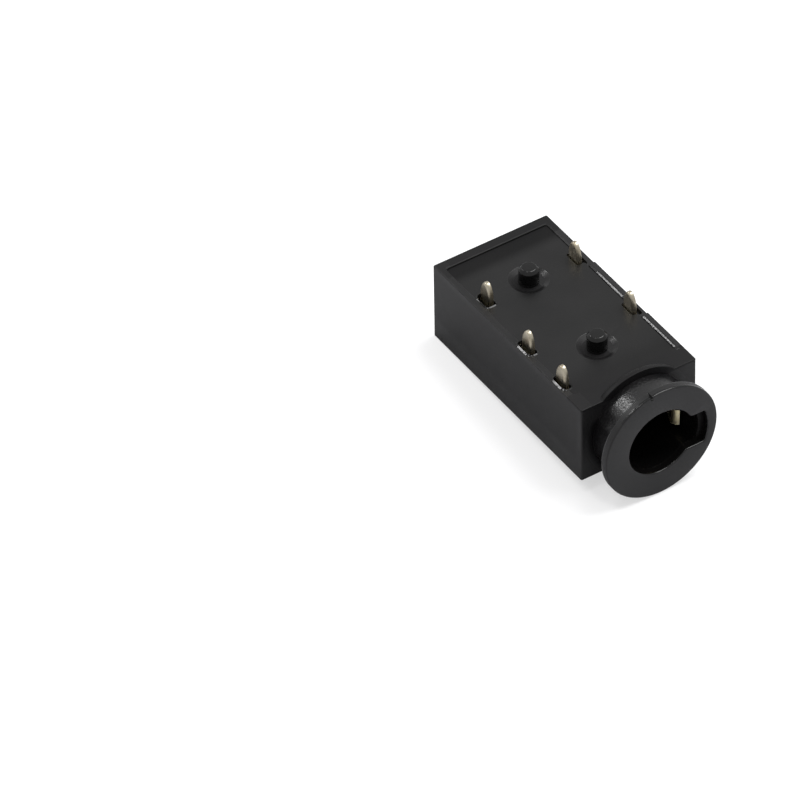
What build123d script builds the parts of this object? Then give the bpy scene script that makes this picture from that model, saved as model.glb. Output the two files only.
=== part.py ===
"""A 3.5 mm audio jack socket for a circuit board, with five solder tails and two locating pegs.

The socket lies with its board side up. X runs out of the plug hole, Z runs from the closed
top to the board side, and the origin is the middle of the plug hole at the flange's face.
"""

from build123d import *
from math import copysign
import os

os.makedirs("parts", exist_ok=True)

# Body of the housing
body_length = 12.45
body_width = 6.5
body_height = 4.4
side_wall = 0.38
roof_wall = 0.35
back_wall = 0.3
rear_rim = 0.55
front_wall = 1.15
corner_radius = 0.08
top_edge = 0.05
rim_edge = 0.04

# Nose: collar, neck and flange round the plug hole
nose_length = 1.9
neck_diameter = 5.2
flange_diameter = 6.3
flange_thickness = 0.45
flange_edge = 0.08
collar_diameter = 6.0
collar_length = 0.5
gate_width = 0.15
gate_depth = 0.22
gate_angle = 11.0

# Plug hole and its keyway, whose outer side is an arc and which is deeper at the flange
bore_diameter = 3.6
mouth_chamfer = 0.1
key_height = 1.9
key_level = -0.22
key_reach = 2.3
pocket_reach = 2.62
pocket_depth = 0.35
key_corner = 0.12
key_bump = 0.3

# Base plate and its pegs, whose places are from the back face
plate_thickness = 0.25
plate_drop = 0.08
plate_gap = 0.03
plate_ledge = 0.2
peg_diameter = 1.0
peg_height = 0.7
peg_chamfer = 0.15
peg_recess_diameter = 2.0
peg_recess_depth = 0.08
rear_peg = 3.3
front_peg = 9.0

# Contacts, all stamped from one strip and bent
strip = 0.25
tail_width = 0.85
tail_height = 0.95
tail_tip = 0.9
tail_edge = 0.04
anchor_width = 1.0
arm_height = 0.92
bend_radius = 0.25
contact_poke = 0.2
sleeve_poke = 0.25
seat_gap = 0.02

# Room round each tail: ahead and behind, outwards in the housing, and inwards in the base plate
pocket_end_gap = 0.16
pocket_side_gap = 0.25
notch_gap = 0.05

# Solder tails on the keyway side: from the back face, and in from the side face
sleeve_from_back = 7.7
sleeve_inset = 0.5
ring_one_from_back = 3.3
ring_one_inset = 0.63

# Solder tails on the plain side
ring_two_from_back = 10.2
ring_two_inset = 0.46
tip_from_back = 7.3
tip_inset = 0.51
switch_from_back = 3.35
switch_inset = 0.83

# Contact points on the plug: the sleeve's from the flange's face, the others from their tails.
# That puts the rings' points 8.7 and 6.3 behind the flange's face, and the tip's 11.4
sleeve_point = 1.55
ring_one_reach = 2.35
ring_two_reach = 2.15
tip_reach = 4.35

# Bends of the arms: a rise to the contact point, and the turned-up free end behind it
rise_run = 0.55
ring_one_step = 0.52
ring_two_step = 0.76
tip_step = 0.4
lead_run = 0.5
lead = 0.25
sleeve_lead_run = 0.18
sleeve_lead = 0.28
sleeve_level = -0.35
key_clearance = 0.2

# The tip contact passes the switch contact's anchor, and its end lies beside the switch's hook
pass_gap = 0.14
hook_room = 0.18
hook_overlap = 0.2
hook_round = 0.35

# Relief in the wall, where the sleeve contact's arm runs out of its groove
arm_relief = 2.0

# Shallow windows in the rim beside the tails on the keyway side
window_length = 1.3
window_depth = 0.13
window_shift = 0.15

# Levels and stations that follow from these
body_front = -nose_length
body_back = body_front - body_length
seat = body_height / 2
top_face = -body_height / 2
bore_radius = bore_diameter / 2
cavity_floor = top_face + roof_wall
cavity_back = body_back + back_wall
plate_back = body_back + rear_rim
cavity_half = body_width / 2 - side_wall
plate_top = seat - plate_drop
plate_bottom = plate_top - plate_thickness
plate_front = body_front - front_wall
bore_end = plate_front - plate_ledge
point_side = bore_radius - contact_poke + strip / 2
sleeve_side = bore_radius - sleeve_poke + strip / 2
tail_end = seat + tail_height


def tail_place(from_back, inset, side):
    """The X and Y of a solder tail's middle, with side 1 at the keyway and -1 opposite."""
    return body_back + from_back, side * (body_width / 2 - inset)


sleeve_tail = tail_place(sleeve_from_back, sleeve_inset, 1)
ring_one_tail = tail_place(ring_one_from_back, ring_one_inset, 1)
ring_two_tail = tail_place(ring_two_from_back, ring_two_inset, -1)
tip_tail = tail_place(tip_from_back, tip_inset, -1)
switch_tail = tail_place(switch_from_back, switch_inset, -1)
tails = [sleeve_tail, ring_one_tail, ring_two_tail, tip_tail, switch_tail]
peg_places = [(body_back + rear_peg, 0), (body_back + front_peg, 0)]


def on_key_edge(vertex):
    """Whether a corner of the section lies on the keyway's upper or lower side."""
    return abs(abs(vertex.Y - key_level) - key_height / 2) < 0.001


def draw_mouth(reach):
    """Draws the plug hole's section, with the keyway reaching out to one side."""
    with Locations((0, key_level)):
        Circle(reach)
        Rectangle(reach, key_height, align=(Align.MIN, Align.CENTER), mode=Mode.INTERSECT)
    fillet(vertices().filter_by(lambda v: on_key_edge(v) and v.X > bore_radius), key_corner)
    Circle(bore_radius)
    fillet(vertices().filter_by(lambda v: on_key_edge(v) and v.X < bore_radius), key_bump)


# Housing: a box with its board side open, a collar, a neck and a flange
with BuildPart() as housing:
    with BuildSketch(Plane.YZ.offset(body_back)):
        Rectangle(body_width, body_height)
    extrude(amount=body_length)
    fillet(housing.edges().filter_by(Axis.Z), corner_radius)
    fillet(housing.faces().sort_by(Axis.Z)[0].edges(), top_edge)
    fillet(housing.faces().sort_by(Axis.Z)[-1].edges(), rim_edge)

    # The collar
    with BuildSketch(Plane.YZ.offset(body_front)):
        Circle(collar_diameter / 2)
    extrude(amount=-collar_length)

    # The neck and the flange
    with BuildSketch(Plane.YZ.offset(body_front)):
        Circle(neck_diameter / 2)
    extrude(amount=nose_length)
    with BuildSketch(Plane.YZ):
        Circle(flange_diameter / 2)
    extrude(amount=-flange_thickness)
    circles = housing.edges().filter_by(GeomType.CIRCLE)
    fillet(circles.filter_by(lambda e: abs(e.radius - flange_diameter / 2) < 0.001), flange_edge)

    # The gate mark, a nick across the flange's rim
    with BuildSketch(Plane.YZ.rotated((gate_angle, 0, 0))):
        with Locations((0, flange_diameter / 2)):
            Rectangle(gate_width, gate_depth * 2)
    extrude(amount=-flange_thickness, mode=Mode.SUBTRACT)

    # The space for the contacts, and the seat of the base plate on its two ledges
    with BuildSketch(Plane.XY.offset(cavity_floor)):
        with Locations((plate_back + plate_ledge, 0)):
            cavity_length = bore_end - plate_back - plate_ledge
            Rectangle(cavity_length, cavity_half * 2, align=(Align.MIN, Align.CENTER))
    extrude(amount=body_height, mode=Mode.SUBTRACT)
    with BuildSketch(Plane.XY.offset(plate_bottom)):
        with Locations((plate_back, 0)):
            Rectangle(plate_front - plate_back, cavity_half * 2, align=(Align.MIN, Align.CENTER))
    extrude(amount=body_height, mode=Mode.SUBTRACT)

    # The plug hole, its keyway and the keyway's wide mouth in the flange
    with BuildSketch(Plane.YZ):
        Circle(bore_radius)
    extrude(amount=cavity_back, mode=Mode.SUBTRACT)
    with BuildSketch(Plane.YZ):
        draw_mouth(key_reach)
    extrude(amount=bore_end, mode=Mode.SUBTRACT)
    with BuildSketch(Plane.YZ):
        draw_mouth(pocket_reach)
    extrude(amount=-pocket_depth, mode=Mode.SUBTRACT)
    chamfer(housing.faces().sort_by(Axis.X)[-1].inner_wires()[0].edges(), mouth_chamfer)

    # Grooves that hold the contacts against the side walls, open at the board side
    for tail_x, tail_y in tails:
        outer_face = abs(tail_y) + strip / 2
        side = copysign(1, tail_y)
        with BuildSketch(Plane.XY.offset(cavity_floor)):
            with Locations((tail_x, side * (outer_face + seat_gap) / 2)):
                Rectangle(anchor_width + 2 * seat_gap, outer_face + seat_gap)
        extrude(amount=body_height, mode=Mode.SUBTRACT)
        with BuildSketch(Plane.XY.offset(plate_bottom)):
            with Locations((tail_x, side * (outer_face + pocket_side_gap) / 2)):
                Rectangle(tail_width + 2 * pocket_end_gap, outer_face + pocket_side_gap)
        extrude(amount=body_height, mode=Mode.SUBTRACT)

    # The relief for the sleeve contact's arm
    with BuildSketch(Plane.XY.offset(sleeve_level - arm_height / 2 - seat_gap)):
        tail_x, tail_y = sleeve_tail
        with Locations((tail_x, 0)):
            Rectangle(arm_relief, tail_y + strip / 2 + seat_gap, align=(Align.MIN, Align.MIN))
    extrude(amount=arm_height + 2 * seat_gap, mode=Mode.SUBTRACT)

    # The windows in the rim
    for tail_x, tail_y in tails:
        if tail_y > 0:
            with BuildSketch(Plane.XY.offset(seat)):
                with Locations((tail_x + window_shift, cavity_half)):
                    Rectangle(window_length, side_wall, align=(Align.CENTER, Align.MIN))
            extrude(amount=-window_depth, mode=Mode.SUBTRACT)

housing.part.label = "housing"


# Base plate: closes the board side, with a notch for each tail and two locating pegs
with BuildPart() as base_plate:
    with BuildSketch(Plane.XY.offset(plate_bottom)):
        with Locations((plate_back + plate_gap, 0)):
            plate_length = plate_front - plate_back - 2 * plate_gap
            Rectangle(plate_length, (cavity_half - plate_gap) * 2, align=(Align.MIN, Align.CENTER))
        for tail_x, tail_y in tails:
            inner_face = abs(tail_y) - strip / 2 - notch_gap
            side = copysign(1, tail_y)
            with Locations((tail_x, side * (inner_face + cavity_half) / 2)):
                notch_length = tail_width + 2 * pocket_end_gap
                Rectangle(notch_length, cavity_half - inner_face, mode=Mode.SUBTRACT)
    extrude(amount=plate_thickness)
    with BuildSketch(Plane.XY.offset(plate_top)):
        with Locations(*peg_places):
            Circle(peg_recess_diameter / 2)
    extrude(amount=-peg_recess_depth, mode=Mode.SUBTRACT)
    with BuildSketch(Plane.XY.offset(plate_top - peg_recess_depth)):
        with Locations(*peg_places):
            Circle(peg_diameter / 2)
    extrude(amount=peg_recess_depth + plate_drop + peg_height)
    chamfer(base_plate.faces().group_by(Axis.Z)[-1].edges(), peg_chamfer)

base_plate.part.label = "base_plate"


def tail_profile(tail):
    """The side view of a contact's anchor and solder tail, on the plane of the blade."""
    tail_x, tail_y = tail
    with BuildSketch(Plane.XZ.offset(-tail_y)) as blade:
        with Locations((tail_x, cavity_floor)):
            Rectangle(anchor_width, plate_bottom - cavity_floor - seat_gap, align=(Align.CENTER, Align.MIN))
            Rectangle(tail_width, tail_end - tail_tip - cavity_floor, align=(Align.CENTER, Align.MIN))
        with Locations((tail_x, tail_end - tail_tip)):
            Ellipse(tail_width / 2, tail_tip)
    return blade.sketch


def arm_profile(tail, *bends, bend=bend_radius, level=0):
    """The edge view of a contact's arm, from its tail through the bends of its middle line."""
    side = copysign(1, tail[1])
    with BuildSketch(Plane.XY.offset(level)) as arm:
        with BuildLine() as middle:
            FilletPolyline(tail, *[(x, side * y) for x, y in bends], radius=bend)
        trace(middle.line, line_width=strip)
    return arm.sketch


def coin_tail(contact):
    """Breaks the sharp edges round the part of a solder tail that stands out."""
    standing = contact.edges().filter_by(lambda e: e.bounding_box().min.Z > plate_bottom - 2 * seat_gap)
    chamfer(standing.filter_by(Axis.Y, reverse=True), tail_edge)


# Sleeve contact: its arm runs forward, through the keyway, to just behind the flange
with BuildPart() as sleeve_contact:
    extrude(tail_profile(sleeve_tail), amount=strip / 2, both=True)
    coin_tail(sleeve_contact)
    tail_x, tail_y = sleeve_tail
    key_lane = key_reach - strip / 2 - key_clearance
    arm = arm_profile(
        sleeve_tail,
        (tail_x + anchor_width, tail_y),
        (bore_end - rise_run, key_lane),
        (-sleeve_point - rise_run, key_lane),
        (-sleeve_point, sleeve_side),
        (-sleeve_point + sleeve_lead_run, sleeve_side + sleeve_lead),
        level=sleeve_level,
    )
    extrude(arm, amount=arm_height / 2, both=True)

sleeve_contact.part.label = "sleeve_contact"


# First ring contact: its arm runs forward from the tail near the back
with BuildPart() as ring_one_contact:
    extrude(tail_profile(ring_one_tail), amount=strip / 2, both=True)
    coin_tail(ring_one_contact)
    tail_x, tail_y = ring_one_tail
    point_x = tail_x + ring_one_reach
    arm = arm_profile(
        ring_one_tail,
        (tail_x + anchor_width / 2, tail_y),
        (point_x - rise_run, tail_y - ring_one_step),
        (point_x, point_side),
        (point_x + lead_run, point_side + lead),
    )
    extrude(arm, amount=arm_height / 2, both=True)

ring_one_contact.part.label = "ring_one_contact"


# Second ring contact: its arm runs back from the foremost tail
with BuildPart() as ring_two_contact:
    extrude(tail_profile(ring_two_tail), amount=strip / 2, both=True)
    coin_tail(ring_two_contact)
    tail_x, tail_y = ring_two_tail
    point_x = tail_x - ring_two_reach
    arm = arm_profile(
        ring_two_tail,
        (point_x + rise_run, abs(tail_y) - ring_two_step),
        (point_x, point_side),
        (point_x - lead_run, point_side + lead),
    )
    extrude(arm, amount=arm_height / 2, both=True)

ring_two_contact.part.label = "ring_two_contact"


# Where the tip contact's end and the switch contact's hook meet
switch_lane = abs(switch_tail[1])
tip_point = tip_tail[0] - tip_reach
tip_end = tip_point - 2 * lead_run
tip_end_side = switch_lane - strip - hook_room
hook_side = tip_end_side - strip - seat_gap
hook_back = tip_end - lead_run

# Tip contact: its arm runs back past the switch contact's anchor, and its end rests on the hook
with BuildPart() as tip_contact:
    extrude(tail_profile(tip_tail), amount=strip / 2, both=True)
    coin_tail(tip_contact)
    tail_x, tail_y = tip_tail
    arm = arm_profile(
        tip_tail,
        (tail_x - anchor_width, abs(tail_y) - tip_step),
        (tip_point + rise_run, switch_lane - strip - pass_gap),
        (tip_point, point_side),
        (tip_point - lead_run, tip_end_side),
        (tip_end, tip_end_side),
    )
    extrude(arm, amount=arm_height / 2, both=True)

tip_contact.part.label = "tip_contact"


# Tip switch contact: its strip runs back and hooks round the end of the tip contact
with BuildPart() as tip_switch_contact:
    extrude(tail_profile(switch_tail), amount=strip / 2, both=True)
    coin_tail(tip_switch_contact)
    arm = arm_profile(
        switch_tail,
        (hook_back, switch_lane),
        (hook_back, hook_side),
        (tip_end + hook_overlap, hook_side),
        bend=(switch_lane - hook_side) * hook_round,
    )
    extrude(arm, amount=arm_height / 2, both=True)

tip_switch_contact.part.label = "tip_switch_contact"

contacts = [sleeve_contact, ring_one_contact, ring_two_contact, tip_contact, tip_switch_contact]
for node in [housing, base_plate, *contacts]:
    export_step(node.part, f"parts/{node.part.label}.step")
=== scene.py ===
"""Visual model of an audio jack socket for a circuit board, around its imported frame.

Sizes are in millimetres in the classes. A piece is modelled at one unit to the millimetre,
because bevels and cuts of some hundredths of a millimetre need that much room, and is brought
to metres as its last step. X runs out of the plug hole and Z towards the board side.
"""

from __future__ import annotations

import logging
import math
from collections.abc import Callable, Iterator, Sequence
from contextlib import contextmanager
from dataclasses import dataclass, field
from enum import Enum

import bmesh
import bpy
from mathutils import Matrix, Vector

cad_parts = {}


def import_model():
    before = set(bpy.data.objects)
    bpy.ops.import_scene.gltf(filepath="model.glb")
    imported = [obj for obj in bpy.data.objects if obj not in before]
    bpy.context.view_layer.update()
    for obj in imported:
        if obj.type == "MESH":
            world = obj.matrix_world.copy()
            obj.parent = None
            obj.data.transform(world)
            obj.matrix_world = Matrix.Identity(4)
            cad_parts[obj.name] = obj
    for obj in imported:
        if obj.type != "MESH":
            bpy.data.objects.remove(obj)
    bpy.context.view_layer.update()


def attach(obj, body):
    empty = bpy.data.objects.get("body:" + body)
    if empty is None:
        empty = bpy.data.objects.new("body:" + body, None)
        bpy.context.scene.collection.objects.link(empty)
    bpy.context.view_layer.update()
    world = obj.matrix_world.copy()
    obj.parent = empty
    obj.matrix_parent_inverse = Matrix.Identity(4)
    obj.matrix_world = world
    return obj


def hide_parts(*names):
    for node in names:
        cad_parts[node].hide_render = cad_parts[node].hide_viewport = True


LOG = logging.getLogger("audio_jack_socket")
MM = 0.001
Point = tuple[float, float]
Span = tuple[float, float]
Triple = tuple[float, float, float]
# A quarter round as depths below a face and widenings, in radii, run on past the face
ROUND_EDGE = ((1.0, 0.0), (0.7, 0.046), (0.42, 0.185), (0.18, 0.428), (0.06, 0.66), (-0.5, 2.4))
# The foot of a raised lip, sunk a little into its face, and its top, in heights of the lip
LIP_LEVELS = (-0.2, 1.0)


class Along(Enum):
    """The axis that an outline is drawn out along."""

    X = 0
    Y = 1
    Z = 2

    def place(self, u: float, v: float, level: float) -> Vector:
        """Puts an outline's point in space.

        Args:
            u: The outline's first measure, along the first of the other two axes.
            v: The outline's second measure, along the second of them.
            level: The place along this axis.

        Returns:
            The point in space.
        """
        values = [u, v]
        values.insert(self.value, level)
        return Vector(values)

    def step(self, length: float) -> Vector:
        """Returns a move of that length along this axis."""
        return self.place(0.0, 0.0, length)


class Side(Enum):
    """The two long sides of the socket, by the sign of Y."""

    KEYWAY = 1
    PLAIN = -1


class Cut(Enum):
    """What one solid does to another."""

    TAKE = "DIFFERENCE"
    JOIN = "UNION"


class Pick(Enum):
    """What is picked in edit mode."""

    POINTS = (True, False, False)
    EDGES = (False, True, False)
    FACES = (False, False, True)


def rounded(corners: Sequence[Triple], closed: bool = True, steps: int = 6) -> list[Point]:
    """Rounds the corners of an outline, each by its own radius.

    Args:
        corners: Each corner's two measures and its radius, which may be 0.
        closed: Whether the outline's end joins its start.
        steps: How many chords each rounded corner has.

    Returns:
        The outline's points.
    """
    points: list[Point] = []
    last = len(corners) - 1
    for index, (u, v, radius) in enumerate(corners):
        if radius == 0 or (not closed and index in (0, last)):
            points.append((u, v))
            continue
        corner = Vector((u, v))
        before = (Vector(corners[index - 1][:2]) - corner).normalized()
        after = (Vector(corners[(index + 1) % len(corners)][:2]) - corner).normalized()
        half_angle = before.angle(after) / 2
        centre = corner + (before + after).normalized() * (radius / math.sin(half_angle))
        start = corner + before * (radius / math.tan(half_angle)) - centre
        turn = start.angle_signed(corner + after * (radius / math.tan(half_angle)) - centre)
        for step in range(steps + 1):
            arm = Matrix.Rotation(-turn * step / steps, 2) @ start
            points.append(tuple(centre + arm))
    return points


class Bench:
    """Blender's modelling tools, each set to act on one piece and on what is picked by place."""

    # Points nearer to each other than this are one point
    fine: float = 1e-4
    # How far a tool that cuts an opening runs on above the face
    above: float = 0.6

    @staticmethod
    def take(piece: bpy.types.Object) -> None:
        """Selects one piece alone and makes it the active one.

        Args:
            piece: The piece.
        """
        bpy.ops.object.select_all(action="DESELECT")
        piece.select_set(True)
        bpy.context.view_layer.objects.active = piece

    @staticmethod
    @contextmanager
    def editing(piece: bpy.types.Object, pick: Pick) -> Iterator[None]:
        """Opens a piece in edit mode with nothing selected, and closes it again.

        Args:
            piece: The piece.
            pick: What is picked in it.

        Yields:
            Nothing, while the piece is open.
        """
        Bench.take(piece)
        bpy.ops.object.mode_set(mode="EDIT")
        bpy.context.tool_settings.mesh_select_mode = pick.value
        bpy.ops.mesh.select_all(action="DESELECT")
        yield
        bpy.ops.object.mode_set(mode="OBJECT")

    @staticmethod
    def pick_edges(piece: bpy.types.Object, test: Callable[[Vector, Vector], bool]) -> int:
        """Selects the edges of an open piece whose two ends pass a test.

        Args:
            piece: The piece, in edit mode.
            test: Takes an edge's two ends and says whether it is wanted.

        Returns:
            How many edges were selected.
        """
        mesh = bmesh.from_edit_mesh(piece.data)
        wanted = [edge for edge in mesh.edges if test(edge.verts[0].co, edge.verts[1].co)]
        for edge in wanted:
            edge.select_set(True)
        bmesh.update_edit_mesh(piece.data)
        return len(wanted)

    @staticmethod
    def merge() -> None:
        """Merges the points of the open piece that lie on each other."""
        bpy.ops.mesh.select_all(action="SELECT")
        bpy.ops.mesh.remove_doubles(threshold=Bench.fine)

    @staticmethod
    def turn_out() -> None:
        """Turns all the faces of the open piece outwards."""
        bpy.ops.mesh.select_all(action="SELECT")
        bpy.ops.mesh.normals_make_consistent(inside=False)

    @staticmethod
    def join(pieces: Sequence[bpy.types.Object]) -> bpy.types.Object:
        """Joins pieces into the first of them.

        Args:
            pieces: The pieces, of which the first stays.

        Returns:
            The joined piece.
        """
        Bench.take(pieces[0])
        for piece in pieces[1:]:
            piece.select_set(True)
        bpy.ops.object.join()
        return pieces[0]

    @staticmethod
    def modify(piece: bpy.types.Object, kind: str, **settings: object) -> None:
        """Adds a modifier to a piece and applies it.

        Args:
            piece: The piece.
            kind: The modifier's type.
            **settings: The modifier's own settings by name.
        """
        Bench.take(piece)
        bpy.ops.object.modifier_add(type=kind)
        modifier = piece.modifiers[-1]
        for name, value in settings.items():
            setattr(modifier, name, value)
        bpy.ops.object.modifier_apply(modifier=modifier.name)

    @staticmethod
    def block(name: str, low: Triple, high: Triple) -> bpy.types.Object:
        """Adds a block, as the start of a piece or as a cutting tool.

        Args:
            name: The block's name.
            low: Its corner with the least X, Y and Z.
            high: The opposite corner.

        Returns:
            The block.
        """
        middle = (Vector(low) + Vector(high)) / 2
        bpy.ops.object.select_all(action="DESELECT")
        bpy.ops.mesh.primitive_cube_add(size=1, location=middle, scale=Vector(high) - Vector(low))
        piece = bpy.context.active_object
        piece.name = name
        bpy.ops.object.transform_apply(location=True, rotation=False, scale=True)
        return piece

    @staticmethod
    def chain(name: str, places: Sequence[Vector], closed: bool) -> bpy.types.Object:
        """Draws a line of edges by extruding one point from place to place.

        Args:
            name: The new piece's name.
            places: The points of the line, in order.
            closed: Whether the line's end joins its start.

        Returns:
            The line, as a piece with no faces.
        """
        bpy.ops.object.select_all(action="DESELECT")
        bpy.ops.mesh.primitive_plane_add(size=1, location=(0, 0, 0))
        piece = bpy.context.active_object
        piece.name = name
        with Bench.editing(piece, Pick.POINTS):
            bpy.ops.mesh.select_all(action="SELECT")
            bpy.ops.mesh.merge(type="CENTER")
            bpy.ops.mesh.select_all(action="SELECT")
            bpy.ops.transform.translate(value=places[0])
            for start, end in zip(places, places[1:]):
                bpy.ops.mesh.extrude_vertices_move(TRANSFORM_OT_translate={"value": end - start})
            if closed:
                mesh = bmesh.from_edit_mesh(piece.data)
                mesh.verts.ensure_lookup_table()
                mesh.verts[0].select_set(True)
                bmesh.update_edit_mesh(piece.data)
                bpy.ops.mesh.edge_face_add()
        return piece

    @staticmethod
    def prism(
        name: str, outline: Sequence[Point], along: Along, low: float, high: float
    ) -> bpy.types.Object:
        """Draws out a closed outline into a solid.

        Args:
            name: The new piece's name.
            outline: The outline's points.
            along: The axis that it is drawn out along.
            low: Where it starts on that axis.
            high: Where it ends on that axis.

        Returns:
            The solid.
        """
        piece = Bench.chain(name, [along.place(u, v, low) for u, v in outline], closed=True)
        with Bench.editing(piece, Pick.POINTS):
            bpy.ops.mesh.select_all(action="SELECT")
            bpy.ops.mesh.edge_face_add()
            move = {"value": along.step(high - low)}
            bpy.ops.mesh.extrude_region_move(TRANSFORM_OT_translate=move)
            Bench.turn_out()
        return piece

    @staticmethod
    def lathe(
        name: str,
        profile: Sequence[Point],
        along: Along = Along.X,
        middle: Triple = (0.0, 0.0, 0.0),
        steps: int = 160,
    ) -> bpy.types.Object:
        """Spins a profile about the plug hole's axis, or about another one.

        Args:
            name: The new piece's name.
            profile: The profile's stations along the axis, each with its radius.
            along: The axis of the turn.
            middle: A point that the axis passes.
            steps: How many steps the turn has.

        Returns:
            The turned solid.
        """
        centre = Vector(middle)
        places = [centre + along.place(0.0, radius, station) for station, radius in profile]
        piece = Bench.chain(name, places, closed=False)
        with Bench.editing(piece, Pick.POINTS):
            bpy.ops.mesh.select_all(action="SELECT")
            bpy.ops.mesh.spin(steps=steps, angle=math.tau, center=centre, axis=along.step(1.0))
            Bench.merge()
            Bench.turn_out()
        return piece

    @staticmethod
    def loft(
        name: str, rings: Sequence[Sequence[Vector]], along: Along = Along.X
    ) -> bpy.types.Object:
        """Bridges a row of closed rings, with equal numbers of points, into a solid.

        Args:
            name: The new piece's name.
            rings: The rings in order, each starting at its own first point.
            along: The axis that the rings follow each other along.

        Returns:
            The solid, closed at both ends.
        """
        spans: list[bpy.types.Object] = []
        for pair in zip(rings, rings[1:]):
            bridged = Bench.join([Bench.chain(name, ring, closed=True) for ring in pair])
            with Bench.editing(bridged, Pick.EDGES):
                bpy.ops.mesh.select_all(action="SELECT")
                bpy.ops.mesh.bridge_edge_loops()
            spans.append(bridged)
        piece = Bench.join(spans)
        axis = along.value
        with Bench.editing(piece, Pick.EDGES):
            Bench.merge()
            for level in (rings[0][0][axis], rings[-1][0][axis]):
                bpy.ops.mesh.select_all(action="DESELECT")
                Bench.pick_edges(
                    piece,
                    lambda a, b: max(abs(a[axis] - level), abs(b[axis] - level)) < Bench.fine,
                )
                bpy.ops.mesh.edge_face_add()
            Bench.turn_out()
        piece.name = name
        return piece

    @staticmethod
    def opening(
        name: str,
        outline: Callable[[float, float], list[Point]],
        low: float,
        face: float,
        edge: float,
    ) -> bpy.types.Object:
        """Makes a tool that sinks an opening into an upper face and rounds the opening's edge.

        Args:
            name: The tool's name.
            outline: Takes how much wider the opening is and how far below the face, and returns
                its outline there.
            low: The opening's floor.
            face: The level of the face that it is sunk into.
            edge: The radius of its rounded edge.

        Returns:
            The tool.
        """
        stations = [(low, 0.0, edge)]
        for depth, grown in ROUND_EDGE:
            stations.append((face - depth * edge, grown * edge, depth * edge))
        stations.append((face + Bench.above, *stations[-1][1:]))
        rings = []
        for level, grown, depth in stations:
            rings.append([Vector((x, y, level)) for x, y in outline(grown, depth)])
        return Bench.loft(name, rings, Along.Z)

    @staticmethod
    def combine(piece: bpy.types.Object, cut: Cut, *tools: bpy.types.Object) -> None:
        """Takes solids away from a piece or joins them to it, and removes them.

        Args:
            piece: The piece that stays.
            cut: Whether the tools are taken away or joined.
            *tools: The solids that are used up.
        """
        for tool in tools:
            Bench.modify(piece, "BOOLEAN", operation=cut.value, solver="EXACT", object=tool)
            bpy.data.objects.remove(tool)

    @staticmethod
    def soften(
        piece: bpy.types.Object,
        test: Callable[[Vector, Vector], bool],
        width: float,
        strips: int = 4,
    ) -> None:
        """Rounds the edges that pass a test.

        Args:
            piece: The piece to round.
            test: Takes an edge's two ends and says whether it is rounded.
            width: How far from the edge the rounding starts.
            strips: How many strips of faces the rounding has.
        """
        with Bench.editing(piece, Pick.EDGES):
            if Bench.pick_edges(piece, test):
                bpy.ops.mesh.bevel(
                    offset=width, offset_type="OFFSET", segments=strips, affect="EDGES"
                )

    @staticmethod
    def close_up(
        piece: bpy.types.Object, finish: bpy.types.Material, crease: float = 28.0
    ) -> None:
        """Cleans a piece, brings it from millimetres to metres, smooths it and dresses it.

        Args:
            piece: The piece, modelled at one unit to the millimetre.
            finish: The material that it is made of.
            crease: Edges that turn by more than this many degrees stay sharp.
        """
        with Bench.editing(piece, Pick.POINTS):
            Bench.merge()
            # A cut can leave a slit with no width, where a point lies on a longer edge
            bpy.ops.mesh.fill_holes(sides=4)
            bpy.ops.mesh.select_all(action="SELECT")
            bpy.ops.mesh.dissolve_degenerate(threshold=Bench.fine)
            Bench.turn_out()
        Bench.take(piece)
        piece.scale = (MM, MM, MM)
        bpy.ops.object.transform_apply(location=True, rotation=True, scale=True)
        bpy.ops.object.shade_smooth_by_angle(angle=math.radians(crease))
        Bench.modify(piece, "WEIGHTED_NORMAL", keep_sharp=True)
        piece.data.materials.clear()
        piece.data.materials.append(finish)


def linear(colour: str) -> tuple[float, float, float, float]:
    """Turns an sRGB hex colour into the linear one that a shader takes.

    Args:
        colour: The colour, such as "#2B2A2B".

    Returns:
        Red, green, blue and an alpha of 1.
    """
    channels = [int(colour[start : start + 2], 16) / 255 for start in (1, 3, 5)]
    decoded = [c / 12.92 if c <= 0.04045 else ((c + 0.055) / 1.055) ** 2.4 for c in channels]
    return decoded[0], decoded[1], decoded[2], 1.0


def add_node(
    tree: bpy.types.NodeTree,
    kind: str,
    settings: dict[str, object] | None = None,
    **inputs: object,
) -> bpy.types.Node:
    """Adds a node with its settings, its values and its links.

    Args:
        tree: The node tree.
        kind: The node's type name, without the ShaderNode that starts it.
        settings: The node's own attributes by name.
        **inputs: A value or another node's output for each input, by the input's name with
            underscores for spaces, or by its number after the word at.

    Returns:
        The new node.
    """
    node = tree.nodes.new(f"ShaderNode{kind}")
    for name, value in (settings or {}).items():
        setattr(node, name, value)
    for name, value in inputs.items():
        number = name.removeprefix("at")
        key = int(number) if number.isdigit() else name.replace("_", " ")
        if isinstance(value, bpy.types.NodeSocket):
            tree.links.new(value, node.inputs[key])
        else:
            node.inputs[key].default_value = value
    return node


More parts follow.
